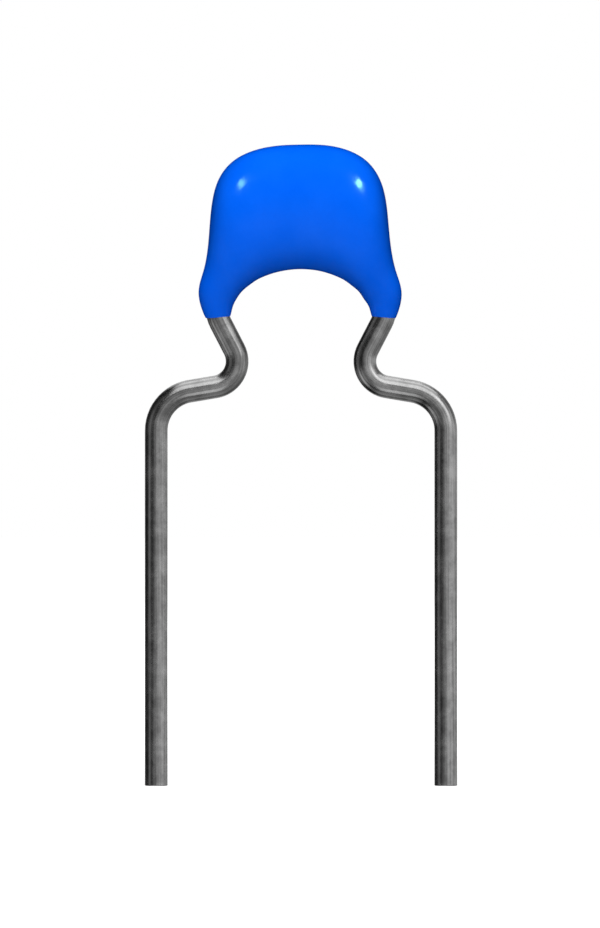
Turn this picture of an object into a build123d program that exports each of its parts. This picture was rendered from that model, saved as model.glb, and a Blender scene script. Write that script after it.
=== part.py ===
from build123d import *
import os
from math import cos, radians, sin, tan

# Radial-lead multilayer ceramic capacitor: a chip between two formed wires, dipped in epoxy.
# Millimetres. The origin is midway between the leads, on the face of the board they go
# through. +Z is up and +X runs from the left lead to the right one.

# Chip, measured over its terminations
chip_length = 2.0
chip_height = 1.25
chip_thickness = 0.85
chip_edge_chamfer = 0.05
termination_wall = 0.04
termination_band = 0.40

# Electrodes, thin metal layers stacked from the chip's front to its back
electrodes_per_end = 6
electrode_thickness = 0.012
electrode_cover = 0.10
electrode_side_margin = 0.18
electrode_end_gap = 0.25

# Leads, each bent at the chip, in its foot, at the kink and at the shoulder
lead_diameter = 0.40
lead_pitch = 5.08
lead_tail = 6.23
lead_grip = 0.65
foot_splay = 0.29
kink_inset = 0.635
splay_angle = 15.5
entry_angle = 27.3
run_angle = 9.5
chip_bend_radius = 0.80
foot_bend_radius = 0.60
kink_bend_radius = 0.455
shoulder_bend_radius = 0.70
chip_lift = 0.16

# Solder between each lead and its termination
solder_film = 0.03
solder_foot_width = 0.62
solder_collar = 0.03
solder_hollow = 0.03
solder_cap = 0.05
solder_edge_inset = 0.06

# Epoxy coating, as its thickness over what it covers
crown_cover = 0.465
arch_cover = 0.474
side_cover = 0.096
face_cover = 0.50
foot_wall = 0.10

# Coating's outline from the front, from the middle outwards, and the arch under it.
# The arch shares run from the foot's inner edge to the middle of the arch.
arch_across_shares = (0.311, 0.570, 0.743, 0.920)
arch_rise_shares = (0.931, 0.765, 0.579, 0.273)
# The shoulder shares run from the chip's centre to the coating's side and crown.
shoulder_across_shares = (0.406, 0.734, 0.927, 1.0)
shoulder_rise_shares = (0.945, 0.761, 0.413, 0.0)
# The flank shares run from the coating's side down to the foot's outer edge.
flank_across_shares = (0.306, 0.657)
flank_drop_shares = (0.490, 0.788)
# The foot follows the lead's bend there, and its wall thins out to a lip.
foot_bend_shares = (1.20, 0.60, 0.0, -0.56)
foot_tilts = (20.0, 10.0, 3.0, -4.0)
foot_inner_wall_shares = (1.00, 0.88, 0.62, 0.20)
foot_outer_wall_shares = (1.48, 1.06, 0.67, 0.20)

# Coating's depth at even steps from the middle to the end of a foot, from full to the lip
depth_shares = (1.0, 1.0, 0.991, 0.971, 0.930, 0.851, 0.728, 0.568, 0.368, 0.171, 0.0)
lip_depth_share = 0.20
# How square a cross-section is: the round one is very nearly an ellipse
full_share = 0.70
round_share = 0.5523

# Places that follow from the sizes
lead_radius = lead_diameter / 2
grip_x = chip_length / 2 + solder_film + lead_radius
foot_x = grip_x + foot_splay
kink_x = foot_x - kink_inset
tail_x = lead_pitch / 2
shoulder_z = shoulder_bend_radius * tan(radians(90 - run_angle) / 2)
kink_z = shoulder_z + (tail_x - kink_x) * tan(radians(run_angle))
foot_z = kink_z + kink_inset / tan(radians(entry_angle))
splay_z = foot_z + foot_splay / tan(radians(splay_angle))
chip_bottom_z = splay_z + chip_lift
chip_z = chip_bottom_z + chip_height / 2
lead_top_z = chip_bottom_z + lead_grip
crown_z = chip_z + chip_height / 2 + crown_cover
arch_z = chip_bottom_z - arch_cover
half_width = grip_x + lead_radius + side_cover
half_depth = chip_thickness / 2 + face_cover
ceramic_length = chip_length - 2 * termination_wall
ceramic_height = chip_height - 2 * termination_wall
ceramic_thickness = chip_thickness - 2 * termination_wall

sides = {"left": -1, "right": 1}
os.makedirs("parts", exist_ok=True)


def write(part, label):
    """Names a finished piece and writes its STEP file."""
    part.label = label
    export_step(part, f"parts/{label}.step")


# Leads
def build_lead(side):
    """Round wire from the chip's end to its cut tip."""
    corners = (
        (side * grip_x, lead_top_z),
        (side * grip_x, splay_z),
        (side * foot_x, foot_z),
        (side * kink_x, kink_z),
        (side * tail_x, shoulder_z),
        (side * tail_x, -lead_tail),
    )
    bends = (chip_bend_radius, foot_bend_radius, kink_bend_radius, shoulder_bend_radius)
    with BuildPart() as lead:
        with BuildLine(Plane.XZ) as path:
            FilletPolyline(*corners, radius=bends)
        with BuildSketch(Plane(origin=path.line @ 0, z_dir=path.line % 0)):
            Circle(lead_radius)
        sweep()
    return lead.part


leads = {name: build_lead(side) for name, side in sides.items()}


# Electrodes
electrode_count = 2 * electrodes_per_end
electrode_length = ceramic_length - electrode_end_gap
electrode_height = ceramic_height - 2 * electrode_side_margin
electrode_stack = ceramic_thickness - 2 * electrode_cover - electrode_thickness
electrode_spacing = electrode_stack / (electrode_count - 1)


def build_electrode(side, layer):
    """One printed layer, from its own end of the ceramic to a gap before the other end."""
    centre = Vector(
        side * electrode_end_gap / 2,
        layer * electrode_spacing - electrode_stack / 2,
        chip_z,
    )
    with BuildPart() as electrode:
        with Locations(centre):
            Box(electrode_length, electrode_thickness, electrode_height)
    return electrode.part


electrodes = {}
for layer in range(electrode_count):
    end = list(sides)[layer % 2]
    electrodes[f"{end}_electrode_{layer // 2 + 1}"] = build_electrode(sides[end], layer)


# Ceramic chip
with BuildPart() as ceramic_block:
    with Locations(Vector(0, 0, chip_z)):
        Box(ceramic_length, ceramic_thickness, ceramic_height)
    chamfer(ceramic_block.edges(), chip_edge_chamfer)

with BuildPart() as ceramic_chip:
    add(ceramic_block.part)
    for electrode in electrodes.values():
        add(electrode, mode=Mode.SUBTRACT)


# Terminations
def build_termination(side):
    """Metal cap over one end of the ceramic, closed on five sides."""
    centre = Vector(side * (chip_length - termination_band) / 2, 0, chip_z)
    with BuildPart() as termination:
        with Locations(centre):
            Box(termination_band, chip_thickness, chip_height)
        outer_face = termination.faces().sort_by(Axis.X)[-1 if side > 0 else 0]
        rims = termination.edges().filter_by(Axis.X) + outer_face.edges()
        chamfer(rims, chip_edge_chamfer)
        add(ceramic_block.part, mode=Mode.SUBTRACT)
    return termination.part


terminations = {name: build_termination(side) for name, side in sides.items()}


# Solder
def build_solder(name):
    """Fillet of solder from the termination's face up both flanks of the lead."""
    side = sides[name]
    face_x = side * chip_length / 2
    foot = (face_x, solder_foot_width / 2)
    collar = (side * grip_x, lead_radius + solder_collar)
    bottom_z = chip_bottom_z + solder_edge_inset + termination_wall
    with BuildPart() as solder:
        with BuildSketch(Plane.XY.offset(bottom_z)):
            with BuildLine():
                flank = SagittaArc(foot, collar, -side * solder_hollow)
                Polyline(flank @ 1, (side * grip_x, 0), (face_x, 0), flank @ 0)
            make_face()
            mirror(about=Plane.XZ)
        extrude(amount=lead_top_z + solder_cap - bottom_z)
        add(leads[name], mode=Mode.SUBTRACT)
    return solder.part


solders = {name: build_solder(name) for name in sides}


# Epoxy coating
bend_half_turn = radians(entry_angle + splay_angle) / 2
bend_lean = radians(splay_angle - entry_angle) / 2
bend_reach = foot_bend_radius / cos(bend_half_turn)
bend_x = foot_x - bend_reach * cos(bend_lean)
bend_z = foot_z - bend_reach * sin(bend_lean)


def foot_edges(bend_share, tilt, inner_share, outer_share):
    """Inner and outer edge of the foot, on a line tilted across the lead's bend."""
    angle = radians(bend_share * (splay_angle if bend_share > 0 else entry_angle))
    lead_x = bend_x + foot_bend_radius * cos(angle)
    lead_z = bend_z + foot_bend_radius * sin(angle)
    lean = radians(tilt)
    lead_reach = lead_radius / cos(angle - lean)
    inner_reach = lead_reach + inner_share * foot_wall
    outer_reach = lead_reach + outer_share * foot_wall
    inner = (lead_x - inner_reach * cos(lean), lead_z - inner_reach * sin(lean))
    outer = (lead_x + outer_reach * cos(lean), lead_z + outer_reach * sin(lean))
    return inner, outer


foot_table = zip(foot_bend_shares, foot_tilts, foot_inner_wall_shares, foot_outer_wall_shares)
inner_edges, outer_edges = zip(*[foot_edges(*row) for row in foot_table])
foot_inner_x, foot_inner_z = inner_edges[0]
foot_outer_x, foot_outer_z = outer_edges[0]

arch_points = [
    (across * foot_inner_x, foot_inner_z + rise * (arch_z - foot_inner_z))
    for across, rise in zip(arch_across_shares, arch_rise_shares)
]
shoulder_points = [
    (across * half_width, chip_z + rise * (crown_z - chip_z))
    for across, rise in zip(shoulder_across_shares, shoulder_rise_shares)
]
flank_points = [
    (half_width + across * (foot_outer_x - half_width), chip_z + drop * (foot_outer_z - chip_z))
    for across, drop in zip(flank_across_shares, flank_drop_shares)
]


def both_sides(middle, right_points):
    """Points from the left foot over the middle to the right foot."""
    left_points = [(-x, z) for x, z in reversed(right_points)]
    return [*left_points, middle, *right_points]


with BuildLine(Plane.XZ) as outline:
    Spline(*both_sides((0, crown_z), [*shoulder_points, *flank_points, *outer_edges]))

with BuildLine(Plane.XZ) as arch:
    Spline(*both_sides((0, arch_z), [*arch_points, *inner_edges]))

half_steps = len(depth_shares) - 1
step_count = 2 * half_steps
lip_depth = lead_radius + lip_depth_share * foot_wall
quarter_turns = ((1, 0), (0, 1), (-1, 0), (0, -1))


def section_ring(step):
    """Control points once round the coating, at one step of the way from foot to foot."""
    inner = arch.line @ (step / step_count)
    outer = outline.line @ (step / step_count)
    depth_share = depth_shares[abs(step - half_steps)]
    centre = (inner + outer) / 2
    across = (outer - inner) / 2
    front = Vector(0, -1, 0) * (lip_depth + depth_share * (half_depth - lip_depth))
    fullness = round_share + depth_share * (full_share - round_share)
    points = []
    for cos_turn, sin_turn in quarter_turns:
        start = across * cos_turn + front * sin_turn
        end = front * cos_turn - across * sin_turn
        points += [centre + start, centre + start + end * fullness, centre + start * fullness + end]
    return points


rings = [section_ring(step) for step in range(step_count + 1)]


def ring_run(step):
    """How far each control point travels per step, for a surface that flows through every ring."""
    before = max(step - 1, 0)
    after = min(step + 1, step_count)
    return [(b - a) / (after - before) for a, b in zip(rings[before], rings[after])]


runs = [ring_run(step) for step in range(step_count + 1)]
points_per_quarter = 3


def quarter_of(ring, quarter):
    """Four control points of one quarter of a ring."""
    first = quarter * points_per_quarter
    return [ring[(first + count) % len(ring)] for count in range(points_per_quarter + 1)]


patches = []
for step in range(step_count):
    leaving = [point + run / 3 for point, run in zip(rings[step], runs[step])]
    arriving = [point - run / 3 for point, run in zip(rings[step + 1], runs[step + 1])]
    net = (rings[step], leaving, arriving, rings[step + 1])
    for quarter in range(len(quarter_turns)):
        patches.append(Face.make_bezier_surface([quarter_of(ring, quarter) for ring in net]))

for ring in (rings[0], rings[-1]):
    rim = [Edge.make_bezier(*quarter_of(ring, quarter)) for quarter in range(len(quarter_turns))]
    patches.append(Face(Wire(rim)))

with BuildPart() as epoxy_coating:
    add(Solid(Shell(patches)))
    for held in (ceramic_block.part, *terminations.values(), *solders.values(), *leads.values()):
        add(held, mode=Mode.SUBTRACT)


# Files
write(epoxy_coating.part, "epoxy_coating")
write(ceramic_chip.part, "ceramic_chip")
for label, electrode in electrodes.items():
    write(electrode, label)
for name in sides:
    write(terminations[name], f"{name}_termination")
    write(solders[name], f"{name}_solder")
    write(leads[name], f"{name}_lead")
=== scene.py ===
from math import cos, pi, radians, sin, tan

import bmesh
import bpy
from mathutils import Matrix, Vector


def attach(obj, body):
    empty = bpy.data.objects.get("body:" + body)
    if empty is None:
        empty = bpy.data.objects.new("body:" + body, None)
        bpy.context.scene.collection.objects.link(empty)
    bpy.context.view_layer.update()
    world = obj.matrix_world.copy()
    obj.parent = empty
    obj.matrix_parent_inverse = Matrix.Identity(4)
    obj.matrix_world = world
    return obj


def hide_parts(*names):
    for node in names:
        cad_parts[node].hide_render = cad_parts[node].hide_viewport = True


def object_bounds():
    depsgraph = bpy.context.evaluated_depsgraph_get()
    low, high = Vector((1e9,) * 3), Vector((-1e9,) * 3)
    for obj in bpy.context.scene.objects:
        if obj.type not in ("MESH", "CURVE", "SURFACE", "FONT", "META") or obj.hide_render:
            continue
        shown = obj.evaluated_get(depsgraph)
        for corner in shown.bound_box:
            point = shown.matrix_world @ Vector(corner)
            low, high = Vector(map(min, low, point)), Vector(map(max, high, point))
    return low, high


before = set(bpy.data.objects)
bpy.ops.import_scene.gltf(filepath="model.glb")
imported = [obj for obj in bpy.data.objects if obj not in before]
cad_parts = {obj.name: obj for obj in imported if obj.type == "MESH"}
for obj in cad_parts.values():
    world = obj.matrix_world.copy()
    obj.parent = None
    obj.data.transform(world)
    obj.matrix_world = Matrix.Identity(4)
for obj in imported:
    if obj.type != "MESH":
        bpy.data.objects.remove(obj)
CAD_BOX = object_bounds()

bl_info = {
    "name": "Dipped Ceramic Capacitor",
    "version": (1, 0, 0),
    "blender": (4, 5, 0),
    "location": "View3D > Sidebar > Capacitor",
    "description": "Dresses a radial-lead ceramic capacitor with its epoxy, leads and stage",
    "category": "Object",
}

MM = 0.001

# Cross-sections of the epoxy from the middle to the end of the right foot, in millimetres:
# arch x and z, outside x and z, half depth, and how square the outline is.
SECTIONS = (
    (0.0000, 2.8315, 0.0000, 5.0190, 0.9245, 0.7000),
    (0.1611, 2.8235, 0.4086, 4.9957, 0.9245, 0.7000),
    (0.3208, 2.8003, 0.8090, 4.9121, 0.9187, 0.6987),
    (0.4778, 2.7628, 1.1681, 4.7214, 0.9046, 0.6957),
    (0.6303, 2.7103, 1.4088, 4.3938, 0.8757, 0.6897),
    (0.7762, 2.6415, 1.5161, 3.9998, 0.8200, 0.6780),
    (0.9138, 2.5572, 1.5629, 3.5930, 0.7332, 0.6598),
    (1.0372, 2.4535, 1.6063, 3.1858, 0.6204, 0.6362),
    (1.1301, 2.3221, 1.6893, 2.7852, 0.4794, 0.6067),
    (1.2048, 2.1791, 1.7780, 2.3879, 0.3406, 0.5776),
    (1.2344, 2.0235, 1.6880, 2.0180, 0.2200, 0.5523),
)

# The dip ran unevenly: how far it stands out beyond each of these, in millimetres, on the
# outside and in the arch of the left half, and then of the right half.
COAT_RUNS = (
    (0.000, 0.000, 0.000, 0.000),
    (0.004, 0.000, 0.014, 0.000),
    (0.008, 0.000, 0.012, 0.000),
    (0.021, 0.000, -0.004, 0.004),
    (0.050, 0.000, -0.022, 0.008),
    (0.071, 0.000, -0.033, 0.012),
    (0.068, 0.010, -0.039, 0.026),
    (0.046, 0.010, -0.031, 0.029),
    (0.029, 0.006, -0.019, 0.031),
    (0.020, 0.010, -0.012, 0.016),
    (0.007, 0.000, -0.006, 0.000),
)

# The epoxy ends in three rings: one at the foot's edge, one on the wire and one hidden in it.
# A reach is a share of the foot's or the wire's radius, and a drop or rise of the meniscus.
LIP_REACH = 0.97
LIP_HIDDEN_REACH = 0.6
LIP_EDGE_DROP = 0.2
LIP_WIRE_DROP = 0.1
LIP_FRONT_DROP = 0.8
LIP_HIDDEN_RISE = 2

# Rounds of moving the cage until the smoothed body passes through its cross-sections
FIT_ROUNDS = 80

# Corners of the right lead's centre line from its cut tip up to the chip, x and z in
# millimetres, and the bend radius at each corner between them.
LEAD_CORNERS = (
    (2.5400, -6.2300),
    (2.5400, 0.5926),
    (0.8850, 0.8696),
    (1.5200, 2.0998),
    (1.2300, 3.1455),
    (1.2300, 3.9555),
)
LEAD_BENDS = (0.70, 0.455, 0.60, 0.80)
# A bend is made in steps of about this angle, and in no fewer than this many
BEND_STEP = radians(6)
LEAST_BEND_STEPS = 6

# Points closer than this are one, and faces that meet at more than this keep a crisp edge
MERGE_DISTANCE = 0.001 * MM
CRISP_ANGLE = radians(30)

ELECTRODES = [f"{end}_electrode_{number}" for end in ("left", "right") for number in range(1, 7)]

# The picture's size, the column of the part's axis and the row of its origin, in pixels
PICTURE_WIDTH = 600
PICTURE_HEIGHT = 928
AXIS_COLUMN = 301.0
ORIGIN_ROW = 430.6
FLOOR_SIZE = 2.0

# Soft boxes: the place and the two sides of each, in millimetres
KEY_BOX = ((0, -275, 300), (300, 780))
BACK_BOX = ((0, 260, 200), (240, 240))
WIRE_BOX = ((10, -14, 46), (72, 80))
# The point that a lamp is turned to, in millimetres, and that of the wires' soft box
LAMP_TARGET = (0, 0, 3)
WIRE_BOX_TARGET = (10, 0, 3)
# Small lamps that give each shoulder its highlight: name, place in millimetres, share of the
# spark level, and roll about its aim in degrees, which turns the highlight along the shoulder
SPARKS = (
    ("left spark", (-36, -40, 42), 0.45, -34),
    ("right spark", (40, -40, 43), 1.0, 34),
)
SPARK_SIZE = (20, 7)
SPARK_COLOUR = "A2FFFF"

TENT_RADIUS = 120 * MM
# Grey of the tent at eye level by compass turn: behind 0, left 0.25, front 0.5, right 0.75
TENT_TURN = (
    (0.00, 1.00), (0.03, 1.00), (0.06, 0.25), (0.11, 0.02), (0.25, 0.02), (0.29, 0.20),
    (0.32, 0.15), (0.35, 0.04), (0.40, 0.02), (0.42, 0.05), (0.51, 0.31), (0.56, 0.42),
    (0.65, 0.49), (0.72, 0.49), (0.85, 0.37), (0.94, 0.30), (0.97, 1.00), (1.00, 1.00),
)
# How that grey changes from straight down (0) by eye level (0.5) to straight up (1)
TENT_RISE = (
    (0.00, 0.20), (0.30, 0.40), (0.40, 0.60), (0.46, 0.95), (0.50, 1.00), (0.62, 0.90),
    (0.72, 0.40), (0.80, 0.15), (1.00, 0.15),
)
# Lighter and darker panels in the tent: the way to each, its half width in degrees, its grey
TENT_PANELS = (
    ((0.00, -0.82, -0.57), 13, 1.10),
    ((-0.41, -0.88, -0.23), 7, 0.26),
    ((-0.64, -0.67, -0.37), 10, 0.40),
    ((-0.83, -0.16, -0.54), 14, 0.55),
    ((-0.80, 0.44, -0.41), 11, 0.25),
    ((0.00, -0.15, -0.99), 28, 0.22),
    ((0.75, -0.52, 0.41), 11, 1.20),
    ((0.80, 0.45, 0.42), 14, 0.12),
    ((0.00, 0.64, 0.77), 24, 0.60),
)
# How far a panel's edge fades to each side, in degrees
PANEL_FADE = 6


def linear(colour):
    """Linear red, green and blue of an sRGB hex colour."""
    parts = [int(colour[place:place + 2], 16) / 255 for place in (0, 2, 4)]
    return tuple(
        part / 12.92 if part <= 0.04045 else ((part + 0.055) / 1.055) ** 2.4 for part in parts
    )


def add_node(tree, kind, settings, links):
    """Adds a node, sets its properties and sockets by name, and links outputs to its sockets."""
    made = tree.nodes.new(kind)
    for name, value in settings.items():
        if isinstance(name, str) and hasattr(made, name):
            setattr(made, name, value)
        else:
            made.inputs[name].default_value = value
    for name, output in links.items():
        tree.links.new(output, made.inputs[name])
    return made


def new_material(name):
    """Material with no nodes yet, and its node tree."""
    material = bpy.data.materials.new(name)
    material.use_nodes = True
    material.node_tree.nodes.clear()
    return material, material.node_tree


def give(piece, material):
    """Makes this the piece's only material."""
    piece.data.materials.clear()
    piece.data.materials.append(material)


def start_piece(name, **disc):
    """Adds a filled disc as the start of a piece, with nothing else selected, in edit mode."""
    bpy.ops.object.select_all(action="DESELECT")
    bpy.ops.mesh.primitive_circle_add(fill_type="NGON", **disc)
    bpy.ops.object.transform_apply(location=True, rotation=True, scale=True)
    piece = bpy.context.object
    piece.name = name
    piece.data.name = name
    bpy.ops.object.mode_set(mode="EDIT")
    bpy.ops.mesh.select_all(action="SELECT")
    return piece


def close_piece():
    """Ends the piece being edited: merges doubles, turns its faces outwards and smooths them."""
    bpy.ops.mesh.select_all(action="SELECT")
    bpy.ops.mesh.remove_doubles(threshold=MERGE_DISTANCE)
    bpy.ops.mesh.normals_make_consistent(inside=False)
    bpy.ops.object.mode_set(mode="OBJECT")
    bpy.ops.object.shade_smooth()


class CoatingSettings(bpy.types.PropertyGroup):
    """Sizes and colours of the epoxy body."""

    meniscus: bpy.props.FloatProperty(
        name="Meniscus",
        description="How much lower the epoxy ends on the wire's front and back than beside it",
        default=0.04 * MM,
        unit="LENGTH",
    )
    levels: bpy.props.IntProperty(
        name="Levels", description="Subdivision of the body's cage", default=4
    )
    blue: bpy.props.FloatVectorProperty(
        name="Blue",
        description="Main colour of the epoxy",
        subtype="COLOR",
        default=linear("0068FF"),
    )
    deep_blue: bpy.props.FloatVectorProperty(
        name="Deep blue",
        description="Colour of its darker clouds",
        subtype="COLOR",
        default=linear("0064FA"),
    )


class LeadSettings(bpy.types.PropertyGroup):
    """Sizes and colours of the leads."""

    diameter: bpy.props.FloatProperty(
        name="Diameter", description="Diameter of the wire", default=0.40 * MM, unit="LENGTH"
    )
    sides: bpy.props.IntProperty(
        name="Sides", description="Vertices round the wire", default=32
    )
    tip_edge: bpy.props.FloatProperty(
        name="Tip edge",
        description="Width of the rounded edge at the cut tip",
        default=0.012 * MM,
        unit="LENGTH",
    )
    bright: bpy.props.FloatVectorProperty(
        name="Bright tin",
        description="Colour of the worn, brighter tin",
        subtype="COLOR",
        default=linear("E0E0E0"),
    )
    dull: bpy.props.FloatVectorProperty(
        name="Dull tin",
        description="Colour of the oxidised tin",
        subtype="COLOR",
        default=linear("9E9E9E"),
    )


class StageSettings(bpy.types.PropertyGroup):
    """The camera's frame and the light."""

    pixels_per_mm: bpy.props.FloatProperty(
        name="Scale",
        description="Pixels of the picture for each millimetre of the part",
        default=57.0,
    )
    distance: bpy.props.FloatProperty(
        name="Distance", description="From the camera to the part", default=0.30, unit="LENGTH"
    )
    key: bpy.props.FloatProperty(
        name="Key",
        description="About how bright a white surface facing the key soft box becomes",
        default=1.15,
    )
    fill: bpy.props.FloatProperty(
        name="Back fill",
        description="About how bright a white surface facing the back soft box becomes",
        default=0.5,
    )
    spark: bpy.props.FloatProperty(
        name="Spark",
        description="About how bright a white surface facing a small lamp becomes",
        default=0.36,
    )
    sheen: bpy.props.FloatProperty(
        name="Wire sheen",
        description="About how bright a white surface facing the wires' soft box becomes",
        default=0.43,
    )
    ambient: bpy.props.FloatProperty(
        name="Ambient",
        description="Brightness of the white room that lights the part",
        default=0.15,
    )


def section_ring(row, side, outside_run, arch_run):
    """Eight points round the epoxy at one cross-section, in millimetres."""
    arch_x, arch_z, outside_x, outside_z, depth, fullness = row
    arch = Vector((side * arch_x, 0, arch_z))
    outside = Vector((side * outside_x, 0, outside_z))
    outwards = (outside - arch).normalized()
    outside += outside_run * outwards
    arch -= arch_run * outwards
    centre = (arch + outside) / 2
    across = (outside - arch) / 2
    front = Vector((0, -depth, 0))
    # The middle of a cubic arc whose handles go as far towards the corner as fullness says
    corner = (4 + 3 * fullness) / 8
    shares = (
        (1, 0), (corner, corner), (0, 1), (-corner, corner),
        (-1, 0), (-corner, -corner), (0, -1), (corner, -corner),
    )
    return [centre + across * a + front * b for a, b in shares]


def lip_rings(ring, settings, lead_radius):
    """Rings that roll the end of a foot under, on to the wire and up inside it."""
    centre = sum(ring, Vector()) / len(ring)
    down = Vector((0, 0, -settings.meniscus / MM))
    edge = []
    on_wire = []
    hidden = []
    for point in ring:
        arm = point - centre
        reach = arm.normalized() * lead_radius
        front_drop = LIP_FRONT_DROP * min(abs(arm.y) / lead_radius, 1)
        edge.append(centre + arm * LIP_REACH + down * (LIP_EDGE_DROP + front_drop))
        on_wire.append(centre + reach * LIP_REACH + down * (LIP_WIRE_DROP + front_drop))
        hidden.append(centre + reach * LIP_HIDDEN_REACH - down * LIP_HIDDEN_RISE)
    return [edge, on_wire, hidden]


def fit_cage(targets, first_lip, last_lip):
    """Cage rings whose subdivided surface passes through the target rings."""
    fixed = len(first_lip)
    cage = [list(ring) for ring in first_lip + targets + last_lip]
    count = len(targets[0])
    for _ in range(FIT_ROUNDS):
        moved = [list(ring) for ring in cage]
        for number, target in enumerate(targets):
            row = number + fixed
            for place in range(count):
                # Subdivision takes a point to the mean of the 3 by 3 points round it, weighted
                # 1, 4, 1 each way and so by 36 in all
                limit = Vector()
                for step, weight in ((-1, 1), (0, 4), (1, 1)):
                    ring = cage[row + step]
                    beside = ring[place - 1] + 4 * ring[place] + ring[(place + 1) % count]
                    limit += weight * beside
                moved[row][place] = cage[row][place] + target[place] - limit / 36
        cage = moved
    return cage


def epoxy_material(settings):
    """Dipped epoxy, cured to a gloss: a pigmented resin skin that flowed before it set, so it
    has a faint orange peel, soft clouds of pigment and a sharp, clear reflection."""
    material, tree = new_material("blue dipped epoxy")
    place = add_node(tree, "ShaderNodeTexCoord", {}, {})
    # Clouds about 0.5 mm across
    cloud = add_node(
        tree, "ShaderNodeTexNoise",
        {"Scale": 1 / (0.5 * MM), "Detail": 3.0, "Roughness": 0.55},
        {"Vector": place.outputs["Object"]},
    )
    # Pigment grains, drawn at 0.06 mm so that they show at all
    grain = add_node(
        tree, "ShaderNodeTexNoise",
        {"Scale": 1 / (0.06 * MM), "Detail": 2.0, "Roughness": 0.6},
        {"Vector": place.outputs["Object"]},
    )
    mixed = add_node(
        tree, "ShaderNodeMix", {"data_type": "FLOAT", "Factor": 0.3},
        {"A": cloud.outputs["Fac"], "B": grain.outputs["Fac"]},
    )
    tint = add_node(tree, "ShaderNodeValToRGB", {}, {"Fac": mixed.outputs["Result"]})
    deep, plain = tint.color_ramp.elements
    deep.position = 0.35
    deep.color = (*settings.deep_blue, 1)
    plain.position = 0.65
    plain.color = (*settings.blue, 1)
    # Orange peel about 0.3 mm from crest to crest
    peel = add_node(
        tree, "ShaderNodeTexNoise",
        {"Scale": 1 / (0.3 * MM), "Detail": 1.0},
        {"Vector": place.outputs["Object"]},
    )
    bump = add_node(
        tree, "ShaderNodeBump",
        {"Strength": 0.08, "Distance": 0.02 * MM},
        {"Height": peel.outputs["Fac"]},
    )
    gloss = add_node(
        tree, "ShaderNodeMapRange",
        {"From Min": 0.3, "From Max": 0.7, "To Min": 0.12, "To Max": 0.20},
        {"Value": cloud.outputs["Fac"]},
    )
    shader = add_node(
        tree, "ShaderNodeBsdfPrincipled", {"IOR": 1.55},
        {
            "Base Color": tint.outputs["Color"],
            "Roughness": gloss.outputs["Result"],
            "Normal": bump.outputs["Normal"],
        },
    )
    add_node(tree, "ShaderNodeOutputMaterial", {}, {"Surface": shader.outputs["BSDF"]})
    return material


def wire_material(settings):
    """Tinned steel-cored wire, drawn through a die and dipped: dull grey, with fine lines along
    its length and small blotches where the tin has oxidised."""
    material, tree = new_material("dull tinned wire")
    way = add_node(tree, "ShaderNodeAttribute", {"attribute_name": "straight_wire"}, {})
    # Draw lines about 0.04 mm wide and 3 mm long
    lined = add_node(
        tree, "ShaderNodeMapping",
        {"Scale": (1 / 0.04, 1 / 0.04, 1 / 3.0)},
        {"Vector": way.outputs["Vector"]},
    )
    lines = add_node(
        tree, "ShaderNodeTexNoise",
        {"Scale": 1.0, "Detail": 3.0, "Roughness": 0.6},
        {"Vector": lined.outputs["Vector"]},
    )
    # Blotches about 0.35 mm across, with finer ones in them
    blotch = add_node(
        tree, "ShaderNodeTexNoise",
        {"Scale": 1 / 0.35, "Detail": 4.0, "Roughness": 0.7},
        {"Vector": way.outputs["Vector"]},
    )
    mixed = add_node(
        tree, "ShaderNodeMix", {"data_type": "FLOAT", "Factor": 0.5},
        {"A": lines.outputs["Fac"], "B": blotch.outputs["Fac"]},
    )
    tint = add_node(tree, "ShaderNodeValToRGB", {}, {"Fac": mixed.outputs["Result"]})
    dull, bright = tint.color_ramp.elements
    dull.position = 0.40
    dull.color = (*settings.dull, 1)
    bright.position = 0.60
    bright.color = (*settings.bright, 1)
    rough = add_node(
        tree, "ShaderNodeMapRange",
        {"From Min": 0.35, "From Max": 0.65, "To Min": 0.20, "To Max": 0.29},
        {"Value": blotch.outputs["Fac"]},
    )
    bump = add_node(
        tree, "ShaderNodeBump",
        {"Strength": 0.15, "Distance": 0.004 * MM},
        {"Height": mixed.outputs["Result"]},
    )
    shader = add_node(
        tree, "ShaderNodeBsdfPrincipled", {"Metallic": 1.0},
        {
            "Base Color": tint.outputs["Color"],
            "Roughness": rough.outputs["Result"],
            "Normal": bump.outputs["Normal"],
        },
    )
    add_node(tree, "ShaderNodeOutputMaterial", {}, {"Surface": shader.outputs["BSDF"]})
    return material


def speckled_material(name, dark, light, grain, metallic, roughness):
    """Fine-grained inner material: two tones in grains of a given size in millimetres."""
    material, tree = new_material(name)
    place = add_node(tree, "ShaderNodeTexCoord", {}, {})
    speckle = add_node(
        tree, "ShaderNodeTexNoise",
        {"Scale": 1 / (grain * MM), "Detail": 3.0, "Roughness": 0.6},
        {"Vector": place.outputs["Object"]},
    )
    tint = add_node(tree, "ShaderNodeValToRGB", {}, {"Fac": speckle.outputs["Fac"]})
    low, high = tint.color_ramp.elements
    low.position = 0.35
    low.color = (*linear(dark), 1)
    high.position = 0.65
    high.color = (*linear(light), 1)
    bump = add_node(
        tree, "ShaderNodeBump",
        {"Strength": 0.2, "Distance": 0.1 * grain * MM},
        {"Height": speckle.outputs["Fac"]},
    )
    shader = add_node(
        tree, "ShaderNodeBsdfPrincipled", {"Metallic": metallic, "Roughness": roughness},
        {"Base Color": tint.outputs["Color"], "Normal": bump.outputs["Normal"]},
    )
    add_node(tree, "ShaderNodeOutputMaterial", {}, {"Surface": shader.outputs["BSDF"]})
    return material


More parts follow.
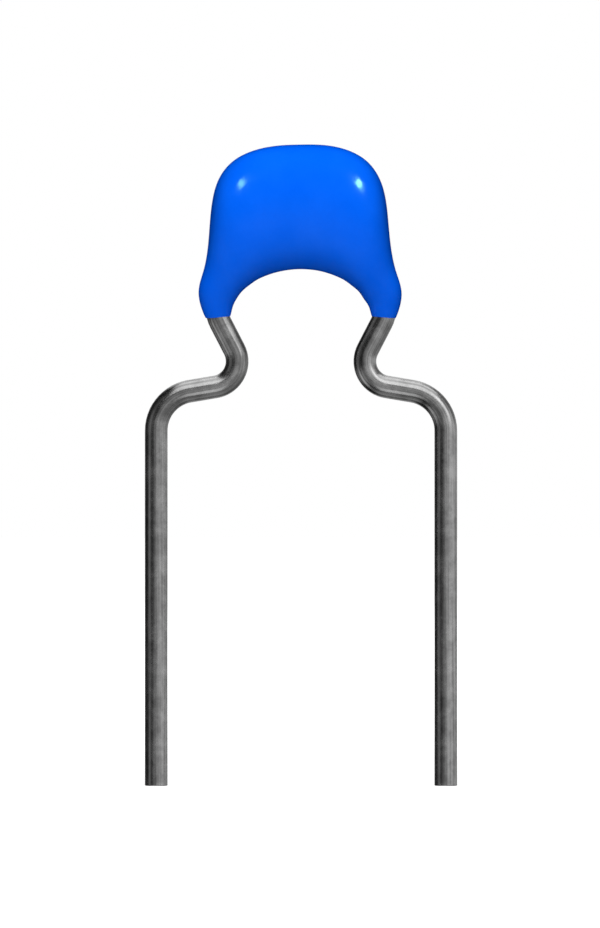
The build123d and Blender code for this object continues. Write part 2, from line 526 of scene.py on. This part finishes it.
class CAPACITOR_OT_coating(bpy.types.Operator):
    """Models the epoxy body: a disc extruded from foot to foot over the chip, then subdivided"""

    bl_idname = "capacitor.coating"
    bl_label = "Epoxy body"

    def execute(self, context):
        settings = context.scene.capacitor_coating
        lead_radius = context.scene.capacitor_leads.diameter / MM / 2
        right = [section_ring(row, 1, *runs[2:]) for row, runs in zip(SECTIONS, COAT_RUNS)]
        left = [section_ring(row, -1, *runs[:2]) for row, runs in zip(SECTIONS, COAT_RUNS)]
        targets = left[:0:-1] + right
        first_lip = list(reversed(lip_rings(targets[0], settings, lead_radius)))
        last_lip = lip_rings(targets[-1], settings, lead_radius)
        rings = fit_cage(targets, first_lip, last_lip)
        body = start_piece("epoxy_body", vertices=len(rings[0]), radius=lead_radius * MM)
        for number, ring in enumerate(rings):
            if number:
                bpy.ops.mesh.extrude_region_move()
            cage = bmesh.from_edit_mesh(body.data)
            disc = next(face for face in cage.faces if face.select)
            for loop, point in zip(disc.loops, ring):
                loop.vert.co = point * MM
            bmesh.update_edit_mesh(body.data)
        close_piece()
        smooth = body.modifiers.new("smooth", "SUBSURF")
        smooth.levels = settings.levels
        smooth.render_levels = settings.levels
        bpy.ops.object.modifier_apply(modifier=smooth.name)
        give(body, epoxy_material(settings))
        # Hidden from reflections, because the dull wires show no blue
        body.visible_glossy = False
        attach(body, "root")
        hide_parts("epoxy_coating")
        return {"FINISHED"}


def bend_wire(corners, bends):
    """Extrudes the selected end of a wire along straight runs and spins it round the bends."""
    points = [Vector((x, 0, z)) * MM for x, z in corners]
    here = points[0]
    for number, corner in enumerate(points[1:]):
        if number < len(bends):
            radius = bends[number] * MM
            arriving = (corner - here).normalized()
            leaving = (points[number + 2] - corner).normalized()
            turn = arriving.angle(leaving)
            trim = radius * tan(turn / 2)
            bend_start = corner - trim * arriving
            bpy.ops.mesh.extrude_region_move(TRANSFORM_OT_translate={"value": bend_start - here})
            # Run without a window, spin turns the other way round its axis
            axis = leaving.cross(arriving).normalized()
            centre = bend_start + radius * arriving.cross(axis)
            steps = max(LEAST_BEND_STEPS, round(turn / BEND_STEP))
            bpy.ops.mesh.spin(steps=steps, angle=turn, center=centre, axis=axis)
            here = corner + trim * leaving
        else:
            bpy.ops.mesh.extrude_region_move(TRANSFORM_OT_translate={"value": corner - here})


def close_wire():
    """Closes a wire and keeps the edges of its cut ends crisp."""
    close_piece()
    bpy.ops.object.shade_smooth_by_angle(angle=CRISP_ANGLE)


def mark_straight_wire(wire, sides):
    """Stores where each point of a bent wire would be if it were straight, in millimetres."""
    points = [vertex.co.copy() for vertex in wire.data.vertices]
    length = 0.0
    before = None
    straight = []
    for first in range(0, len(points), sides):
        centre = sum(points[first:first + sides], Vector()) / sides
        if before:
            length += (centre - before).length / MM
        before = centre
        for place in range(sides):
            reach = (points[first + place] - centre).length / MM
            turn = 2 * pi * place / sides
            straight += [reach * cos(turn), reach * sin(turn), length]
    marks = wire.data.attributes.new("straight_wire", "FLOAT_VECTOR", "POINT")
    marks.data.foreach_set("vector", straight)


class CAPACITOR_OT_leads(bpy.types.Operator):
    """Models one lead by extruding and bending a wire, and mirrors a copy to the other side"""

    bl_idname = "capacitor.leads"
    bl_label = "Leads"

    def execute(self, context):
        settings = context.scene.capacitor_leads
        radius = settings.diameter / 2
        edge = settings.tip_edge
        tip_x, tip_z = LEAD_CORNERS[0]
        right = start_piece(
            "right_wire",
            vertices=settings.sides,
            radius=radius - edge,
            location=(tip_x * MM, 0, tip_z * MM),
        )
        bpy.ops.mesh.extrude_region_move(TRANSFORM_OT_translate={"value": (0, 0, edge)})
        swell = radius / (radius - edge)
        bpy.ops.transform.resize(
            value=(swell, swell, 1), center_override=(tip_x * MM, 0, tip_z * MM + edge)
        )
        bend_wire(((tip_x, tip_z + edge / MM), *LEAD_CORNERS[1:]), LEAD_BENDS)
        close_wire()
        mark_straight_wire(right, settings.sides)

        left = right.copy()
        left.data = right.data.copy()
        left.name = "left_wire"
        left.data.name = "left_wire"
        context.scene.collection.objects.link(left)
        bpy.ops.object.select_all(action="DESELECT")
        left.select_set(True)
        context.view_layer.objects.active = left
        bpy.ops.object.mode_set(mode="EDIT")
        bpy.ops.mesh.select_all(action="SELECT")
        bpy.ops.transform.resize(value=(-1, 1, 1), center_override=(0, 0, 0))
        close_wire()

        tinned = wire_material(settings)
        for wire, node in ((right, "right_lead"), (left, "left_lead")):
            give(wire, tinned)
            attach(wire, "root")
            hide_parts(node)
        return {"FINISHED"}


class CAPACITOR_OT_chip(bpy.types.Operator):
    """Finishes the chip, its electrodes, its end caps and the solder inside the epoxy"""

    bl_idname = "capacitor.chip"
    bl_label = "Chip"

    def execute(self, context):
        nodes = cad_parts
        # Sintered barium titanate: tan, matt and finely granular
        ceramic = speckled_material("sintered ceramic", "8A7358", "B59B7A", 0.02, 0.0, 0.75)
        give(nodes["ceramic_chip"], ceramic)
        # Fired nickel paste: grey, with the grain of its powder
        nickel = speckled_material("fired nickel", "77736C", "97938A", 0.01, 1.0, 0.45)
        for name in ELECTRODES:
            give(nodes[name], nickel)
        # Matt tin plate over nickel: pale grey and even
        tin = speckled_material("matt tin plate", "A5A5A2", "C3C3BF", 0.015, 1.0, 0.40)
        # Solder that wetted and froze: a little brighter, with larger grains
        solder = speckled_material("frozen solder", "9A9B9D", "C9CACB", 0.05, 1.0, 0.28)
        for end in ("left", "right"):
            give(nodes[f"{end}_termination"], tin)
            give(nodes[f"{end}_solder"], solder)
        return {"FINISHED"}


def add_backdrop_rays(tree):
    """Value that is 1 for rays that show the backdrop itself and 0 for rays that light things."""
    path = add_node(tree, "ShaderNodeLightPath", {}, {})
    seen = add_node(
        tree, "ShaderNodeMath", {"operation": "MAXIMUM"},
        {0: path.outputs["Is Camera Ray"], 1: path.outputs["Is Glossy Ray"]},
    )
    seen = add_node(
        tree, "ShaderNodeMath", {"operation": "MAXIMUM"},
        {0: seen.outputs["Value"], 1: path.outputs["Is Transmission Ray"]},
    )
    return seen.outputs["Value"]


def paper_material():
    """White seamless paper: matt, and bright enough to look white where nothing shades it."""
    material, tree = new_material("white seamless paper")
    place = add_node(tree, "ShaderNodeTexCoord", {}, {})
    far = add_node(
        tree, "ShaderNodeVectorMath", {"operation": "LENGTH"}, {"Vector": place.outputs["Object"]}
    )
    # The paper is lit like a light table from 20 mm outwards, so that its far end stays white
    glow = add_node(
        tree, "ShaderNodeMapRange",
        {"From Min": 20 * MM, "From Max": 90 * MM, "To Min": 0.66, "To Max": 1.0},
        {"Value": far.outputs["Value"]},
    )
    lift = add_node(
        tree, "ShaderNodeMath", {"operation": "MULTIPLY"},
        {0: glow.outputs["Result"], 1: add_backdrop_rays(tree)},
    )
    shader = add_node(
        tree, "ShaderNodeBsdfPrincipled",
        {
            "Base Color": (*linear("AAAAAA"), 1),
            "Roughness": 0.9,
            "Specular IOR Level": 0.0,
            "Emission Color": (*linear("FFFFFF"), 1),
        },
        {"Emission Strength": lift.outputs["Value"]},
    )
    add_node(tree, "ShaderNodeOutputMaterial", {}, {"Surface": shader.outputs["BSDF"]})
    return material


def tent_material():
    """Cloth tent of greys: dark on the left, grey in front and on the right, white behind, with
    lighter and darker panels that draw the bands along the wires."""
    material, tree = new_material("grey tent cloth")
    place = add_node(tree, "ShaderNodeTexCoord", {}, {})
    way = add_node(
        tree, "ShaderNodeVectorMath",
        {"operation": "NORMALIZE"},
        {"Vector": place.outputs["Object"]},
    )
    part = add_node(tree, "ShaderNodeSeparateXYZ", {}, {"Vector": way.outputs["Vector"]})
    ahead = add_node(
        tree, "ShaderNodeMath", {"operation": "MULTIPLY", 1: -1.0}, {0: part.outputs["Y"]}
    )
    turn = add_node(
        tree, "ShaderNodeMath", {"operation": "ARCTAN2"},
        {0: part.outputs["X"], 1: ahead.outputs["Value"]},
    )
    turn = add_node(
        tree, "ShaderNodeMapRange",
        {"From Min": -pi, "From Max": pi},
        {"Value": turn.outputs["Value"]},
    )
    rise = add_node(tree, "ShaderNodeMath", {"operation": "ARCSINE"}, {0: part.outputs["Z"]})
    rise = add_node(
        tree, "ShaderNodeMapRange",
        {"From Min": -pi / 2, "From Max": pi / 2},
        {"Value": rise.outputs["Value"]},
    )
    greys = []
    for measure, table in ((turn, TENT_TURN), (rise, TENT_RISE)):
        ramp = add_node(tree, "ShaderNodeValToRGB", {}, {"Fac": measure.outputs["Result"]})
        stops = ramp.color_ramp.elements
        while len(stops) < len(table):
            stops.new(1.0)
        for stop, (position, grey) in zip(stops, table):
            stop.position = position
            stop.color = (grey, grey, grey, 1)
        greys.append(ramp.outputs["Color"])
    cloth = add_node(
        tree, "ShaderNodeMath", {"operation": "MULTIPLY"}, {0: greys[0], 1: greys[1]}
    )
    for aim, half_width, grey in TENT_PANELS:
        facing = add_node(
            tree, "ShaderNodeVectorMath",
            {"operation": "DOT_PRODUCT", 1: aim},
            {0: way.outputs["Vector"]},
        )
        panel = add_node(
            tree, "ShaderNodeMapRange",
            {
                "From Min": cos(radians(half_width + PANEL_FADE)),
                "From Max": cos(radians(half_width - PANEL_FADE)),
            },
            {"Value": facing.outputs["Value"]},
        )
        cloth = add_node(
            tree, "ShaderNodeMix", {"data_type": "FLOAT", "B": grey},
            {"Factor": panel.outputs["Result"], "A": cloth.outputs[0]},
        )
    shader = add_node(tree, "ShaderNodeEmission", {}, {"Strength": cloth.outputs[0]})
    add_node(tree, "ShaderNodeOutputMaterial", {}, {"Surface": shader.outputs["Emission"]})
    # Only reflections find the tent, so it needs no share of the light samples
    material.cycles.emission_sampling = "NONE"
    return material


def soft_lamp(name, place, size, level, shines, target=LAMP_TARGET, roll=0):
    """Flat lamp turned to a target; level is about how bright a white surface facing it becomes."""
    lamp = bpy.data.lights.new(name, "AREA")
    lamp.shape = "RECTANGLE"
    lamp.size, lamp.size_y = [side * MM for side in size]
    holder = bpy.data.objects.new(name, lamp)
    bpy.context.scene.collection.objects.link(holder)
    holder.location = [value * MM for value in place]
    aim = Vector(target) * MM - holder.location
    holder.rotation_euler = aim.to_track_quat("-Z", "Y").to_euler()
    holder.rotation_euler.rotate_axis("Z", radians(roll))
    # The power that a disc of the same area needs for this level straight in front of it
    lamp.energy = level * pi * (lamp.size * lamp.size_y + pi * aim.length_squared)
    holder.visible_camera = False
    # A lamp hidden from reflections would leave a trace in them without the second of these
    holder.visible_glossy = shines
    lamp.cycles.use_multiple_importance_sampling = shines
    return holder


class CAPACITOR_OT_stage(bpy.types.Operator):
    """Sets the floor, the tent, the light and the camera, which sees the part from the front"""

    bl_idname = "capacitor.stage"
    bl_label = "Stage"

    def execute(self, context):
        scene = context.scene
        settings = scene.capacitor_stage

        bpy.ops.object.select_all(action="DESELECT")
        bpy.ops.mesh.primitive_plane_add(size=FLOOR_SIZE, location=(0, 0, CAD_BOX[0][2]))
        floor = context.object
        floor.name = "floor"
        bpy.ops.object.transform_apply(location=True, rotation=True, scale=True)
        # Hidden from reflections, because white paper would wash out the bands of the wires
        floor.visible_glossy = False
        give(floor, paper_material())

        world = bpy.data.worlds.new("studio")
        scene.world = world
        world.use_nodes = True
        tree = world.node_tree
        tree.nodes.clear()
        level = add_node(
            tree, "ShaderNodeMapRange",
            {"To Min": settings.ambient, "To Max": 1.0},
            {"Value": add_backdrop_rays(tree)},
        )
        sky = add_node(
            tree, "ShaderNodeBackground",
            {"Color": (*linear("FFFFFF"), 1)},
            {"Strength": level.outputs["Result"]},
        )
        add_node(tree, "ShaderNodeOutputWorld", {}, {"Surface": sky.outputs["Background"]})

        # The tent shows only in the wires' reflections and lights nothing else
        bpy.ops.object.select_all(action="DESELECT")
        bpy.ops.mesh.primitive_uv_sphere_add(radius=TENT_RADIUS, segments=48, ring_count=24)
        tent = context.object
        tent.name = "tent"
        tent.visible_camera = False
        tent.visible_diffuse = False
        tent.visible_shadow = False
        give(tent, tent_material())
        wires = bpy.data.collections.new("wires")
        wires.objects.link(bpy.data.objects["left_wire"])
        wires.objects.link(bpy.data.objects["right_wire"])
        tent.light_linking.receiver_collection = wires

        # Key and back light the whole part, the sparks only the epoxy, the last box only the wires
        soft_lamp("key soft box", *KEY_BOX, settings.key, False)
        soft_lamp("back soft box", *BACK_BOX, settings.fill, False)
        epoxy = bpy.data.collections.new("epoxy")
        epoxy.objects.link(bpy.data.objects["epoxy_body"])
        for name, place, share, roll in SPARKS:
            spark = soft_lamp(name, place, SPARK_SIZE, share * settings.spark, True, roll=roll)
            spark.data.color = linear(SPARK_COLOUR)
            spark.visible_diffuse = False
            spark.light_linking.receiver_collection = epoxy
        sheen = soft_lamp("wire soft box", *WIRE_BOX, settings.sheen, True, WIRE_BOX_TARGET)
        sheen.visible_diffuse = False
        sheen.light_linking.receiver_collection = wires

        height = PICTURE_HEIGHT / settings.pixels_per_mm * MM
        lens = bpy.data.cameras.new("camera")
        lens.sensor_width = 36.0
        lens.lens = lens.sensor_width * settings.distance / height
        lens.clip_start = 0.01
        lens.clip_end = 10.0
        camera = bpy.data.objects.new("camera", lens)
        scene.collection.objects.link(camera)
        camera.location = (
            (PICTURE_WIDTH / 2 - AXIS_COLUMN) / settings.pixels_per_mm * MM,
            -settings.distance,
            (ORIGIN_ROW - PICTURE_HEIGHT / 2) / settings.pixels_per_mm * MM,
        )
        camera.rotation_euler = (radians(90), 0, 0)
        scene.camera = camera
        scene.view_settings.view_transform = "Standard"
        return {"FINISHED"}


class CAPACITOR_PT_panel(bpy.types.Panel):
    """Lists the capacitor's settings and the steps that make it"""

    bl_idname = "CAPACITOR_PT_panel"
    bl_label = "Dipped Ceramic Capacitor"
    bl_space_type = "VIEW_3D"
    bl_region_type = "UI"
    bl_category = "Capacitor"

    def draw(self, context):
        scene = context.scene
        steps = (
            ("capacitor.coating", scene.capacitor_coating),
            ("capacitor.leads", scene.capacitor_leads),
            ("capacitor.chip", None),
            ("capacitor.stage", scene.capacitor_stage),
        )
        for step, settings in steps:
            column = self.layout.column()
            if settings:
                for name in settings.__annotations__:
                    column.prop(settings, name)
            column.operator(step)


CLASSES = (
    CoatingSettings,
    LeadSettings,
    StageSettings,
    CAPACITOR_OT_coating,
    CAPACITOR_OT_leads,
    CAPACITOR_OT_chip,
    CAPACITOR_OT_stage,
    CAPACITOR_PT_panel,
)


def register():
    for kind in CLASSES:
        bpy.utils.register_class(kind)
    bpy.types.Scene.capacitor_coating = bpy.props.PointerProperty(type=CoatingSettings)
    bpy.types.Scene.capacitor_leads = bpy.props.PointerProperty(type=LeadSettings)
    bpy.types.Scene.capacitor_stage = bpy.props.PointerProperty(type=StageSettings)


def unregister():
    del bpy.types.Scene.capacitor_stage
    del bpy.types.Scene.capacitor_leads
    del bpy.types.Scene.capacitor_coating
    for kind in reversed(CLASSES):
        bpy.utils.unregister_class(kind)


def main():
    """Makes the pieces in order."""
    register()
    bpy.ops.capacitor.coating()
    bpy.ops.capacitor.leads()
    bpy.ops.capacitor.chip()
    bpy.ops.capacitor.stage()


if __name__ == "__main__":
    main()
